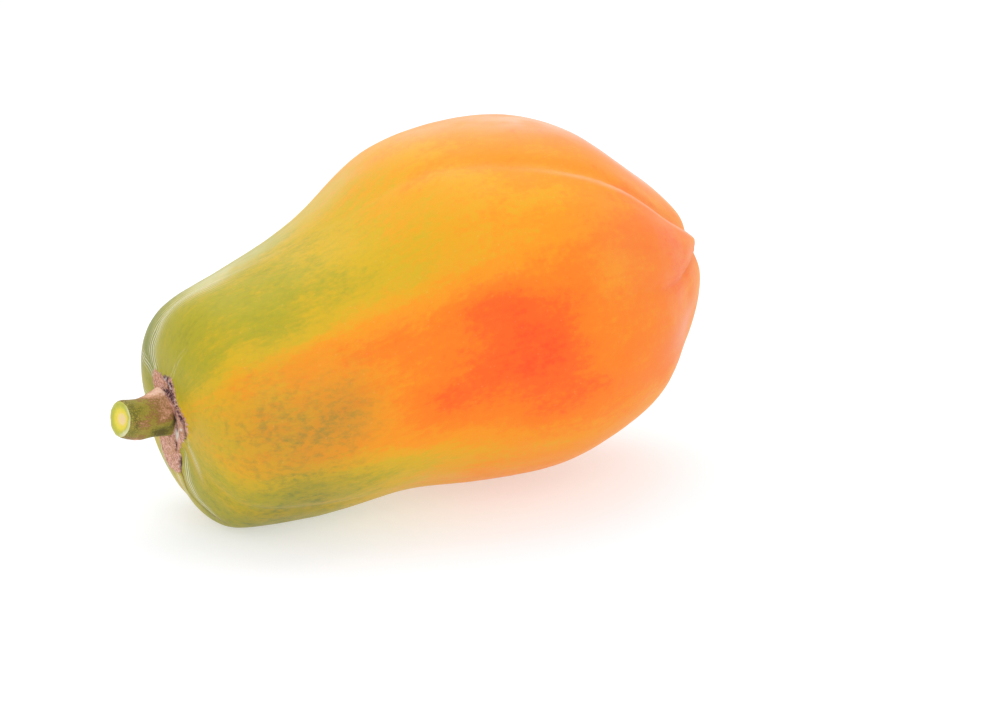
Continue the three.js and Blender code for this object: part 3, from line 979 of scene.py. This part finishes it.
def makeBarkMaterial():
    look = barkLook
    material, tree, shader = newMaterial("greenStalkBark", look["shader"])
    ring = addNode(tree, "ShaderNodeAttribute", attribute_name="ring").outputs["Vector"]
    corky, netted, paintedFootShadow = (
        addNode(tree, "ShaderNodeAttribute", attribute_name=name).outputs["Fac"]
        for name in ("corky", "netted", "paintedFootShadow")
    )
    longways = addNode(
        tree, "ShaderNodeVectorMath", operation="MULTIPLY", links={0: ring},
        inputs={1: (1, 1, stalk["fibreStretch"])},
    )
    fibres = addNode(
        tree, "ShaderNodeTexNoise", links={"Vector": longways.outputs[0]},
        inputs={"Scale": 1 / look["fibreSize"], "Detail": 3},
    )
    grains = addNode(
        tree, "ShaderNodeTexNoise", links={"Vector": ring},
        inputs={"Scale": 1 / look["grainSize"], "Detail": 5, "Roughness": 0.7},
    )
    total = addNode(
        tree, "ShaderNodeMath", operation="MULTIPLY_ADD",
        links={0: grains.outputs["Fac"], 2: corky}, inputs={1: 1.0},
    )
    total = addNode(
        tree, "ShaderNodeMath", operation="MULTIPLY_ADD",
        links={0: fibres.outputs["Fac"], 2: total.outputs[0]}, inputs={1: look["fibreAmount"]},
    )
    total = addNode(
        tree, "ShaderNodeMath", operation="SUBTRACT", links={0: total.outputs[0]},
        inputs={1: look["darkening"]},
    )
    ramp = addNode(tree, "ShaderNodeValToRGB", links={"Fac": total.outputs[0]})
    fillRamp(ramp, look["ramp"])
    cells = addNode(
        tree, "ShaderNodeTexVoronoi", feature="DISTANCE_TO_EDGE", links={"Vector": ring},
        inputs={"Scale": 1 / look["netSize"]},
    )
    net = addNode(
        tree, "ShaderNodeMapRange", links={"Value": cells.outputs["Distance"]},
        inputs={"From Min": look["netLine"][0], "From Max": look["netLine"][1]},
    )
    net = addNode(
        tree, "ShaderNodeMath", operation="MULTIPLY", links={0: net.outputs[0], 1: netted},
    )
    top = ramp.outputs["Color"]
    # the net of cracks, then the painted shadow round the foot
    for amount, paint in ((net.outputs[0], "net"), (paintedFootShadow, "paintedFootShadow")):
        layer = addNode(
            tree, "ShaderNodeMix", data_type="RGBA", links={"Factor": amount, 6: top},
            inputs={7: linearColour(look[paint])},
        )
        top = layer.outputs[2]
    tree.links.new(top, shader.inputs["Base Color"])
    under = {}
    for height, strength in zip((fibres, grains), look["bumps"]):
        bump = addNode(
            tree, "ShaderNodeBump", links={"Height": height.outputs["Fac"], **under},
            inputs={"Strength": strength, "Distance": look["bumpDepth"]},
        )
        under = {"Normal": bump.outputs[0]}
    tree.links.new(bump.outputs[0], shader.inputs["Normal"])
    return material


# Freshly cut stalk: a moist, cream pith inside a yellow ring and a green rim, torn whitish on
# one side.
cutLook = {
    "rings": [
        (0.0, "#F0D0A0"), (0.3, "#F0D690"), (0.42, "#EED64C"), (0.58, "#E6D43A"),
        (0.72, "#CCC43E"), (0.86, "#B6B83A"), (1.0, "#C4C056"),
    ],
    "torn": "#DCDCB0",
    "grainSize": 0.55,
    "grainShift": 0.16,  # how far the grain moves the rings in and out
    "bump": {"Strength": 0.6, "Distance": 0.0003},
    "shader": {
        "Roughness": 0.45, "IOR": 1.4, "Subsurface Weight": 0.1, "Subsurface Scale": 0.001,
    },
}


def makeCutMaterial():
    look = cutLook
    material, tree, shader = newMaterial("freshlyCutPith", look["shader"])
    ringAt, torn = (
        addNode(tree, "ShaderNodeAttribute", attribute_name=name).outputs["Fac"]
        for name in ("ringAt", "torn")
    )
    metres = addNode(tree, "ShaderNodeTexCoord").outputs["Object"]
    grains = addNode(
        tree, "ShaderNodeTexNoise", links={"Vector": metres},
        inputs={"Scale": 1000 / look["grainSize"], "Detail": 4, "Roughness": 0.65},
    )
    shifted = addNode(
        tree, "ShaderNodeMath", operation="MULTIPLY_ADD",
        links={0: grains.outputs["Fac"], 2: ringAt}, inputs={1: look["grainShift"]},
    )
    centred = addNode(
        tree, "ShaderNodeMath", operation="SUBTRACT", links={0: shifted.outputs[0]},
        inputs={1: look["grainShift"] / 2},
    )
    ramp = addNode(tree, "ShaderNodeValToRGB", links={"Fac": centred.outputs[0]})
    fillRamp(ramp, look["rings"])
    mixed = addNode(
        tree, "ShaderNodeMix", data_type="RGBA", links={"Factor": torn, 6: ramp.outputs["Color"]},
        inputs={7: linearColour(look["torn"])},
    )
    tree.links.new(mixed.outputs[2], shader.inputs["Base Color"])
    bump = addNode(
        tree, "ShaderNodeBump", links={"Height": grains.outputs["Fac"]},
        inputs=look["bump"],
    )
    tree.links.new(bump.outputs[0], shader.inputs["Normal"])
    return material


# The camera stands where the photo was taken from: degrees, metres and millimetres of lens.
studio = {
    "azimuth": -33.23, "elevation": 15.64, "distance": 0.808, "aim": (0.0255, -0.0107, 0.0451),
    "lens": 85.0, "sensor": 36.0,
    # white acrylic, lit a little from below
    "floor": {
        "Base Color": linearColour("#BEC1C7"), "Emission Color": (1, 1, 1, 1),
        "Emission Strength": 0.5, "Roughness": 0.9,
    },
    "floorHalf": 4.0,  # half its width
    "world": 0.88,
    # name, place, size, watts
    "lights": [
        ("topSoftbox", (0.2, 0.45, 1.15), 1.3, 6.0),
        ("frontFill", (-0.3, -1.05, 0.8), 0.9, 2.6),
    ],
    "lightAim": (0, 0, 0.05),
}


def makeStudio():
    azimuth, elevation = math.radians(studio["azimuth"]), math.radians(studio["elevation"])
    level = math.cos(elevation)
    back = Vector((math.sin(azimuth) * level, -math.cos(azimuth) * level, math.sin(elevation)))
    right = Vector((math.cos(azimuth), math.sin(azimuth), 0))
    camera = bpy.data.cameras.new("studioCamera")
    camera.lens = studio["lens"]
    camera.sensor_width = studio["sensor"]
    camera.sensor_fit = "HORIZONTAL"
    camera.clip_start = 0.01
    place = Matrix((right, back.cross(right), back)).transposed().to_4x4()
    place.translation = Vector(studio["aim"]) + back * studio["distance"]
    holder = addObject("studioCamera", camera)
    holder.matrix_world = place
    scene = bpy.context.scene
    scene.camera = holder

    shape = bmesh.new()
    bmesh.ops.create_grid(shape, x_segments=1, y_segments=1, size=studio["floorHalf"])
    mesh = bpy.data.meshes.new("studioFloor")
    shape.to_mesh(mesh)
    shape.free()
    mesh.materials.append(newMaterial("whiteStudioAcrylic", studio["floor"])[0])
    floor = addObject("studioFloor", mesh)

    world = bpy.data.worlds.new("studioWorld")
    world.use_nodes = True
    background = world.node_tree.nodes["Background"]
    background.inputs["Color"].default_value = (1, 1, 1, 1)
    background.inputs["Strength"].default_value = studio["world"]
    scene.world = world
    for name, at, size, watts in studio["lights"]:
        lamp = bpy.data.lights.new(name, "AREA")
        lamp.shape = "DISK"
        lamp.size = size
        lamp.energy = watts
        holder = addObject(name, lamp)
        holder.location = at
        fromAim = Vector(at) - Vector(studio["lightAim"])
        holder.rotation_euler = fromAim.to_track_quat("Z", "Y").to_euler()
    scene.view_settings.view_transform = "Standard"
    scene.view_settings.look = "None"


makeStudio()
print("studio ready")
skin, seatPoint = makeFruit()
skin.data.materials.append(makeSkinMaterial())
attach(skin, "root")
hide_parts("papaya_fruit")
print("fruit ready", len(skin.data.polygons), "faces")
stub = makeStalk(seatPoint)
stub.data.materials.append(makeBarkMaterial())
stub.data.materials.append(makeCutMaterial())
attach(stub, "root")
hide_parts("stem")
print("stem ready", len(stub.data.polygons), "faces")

bpy.context.view_layer.update()
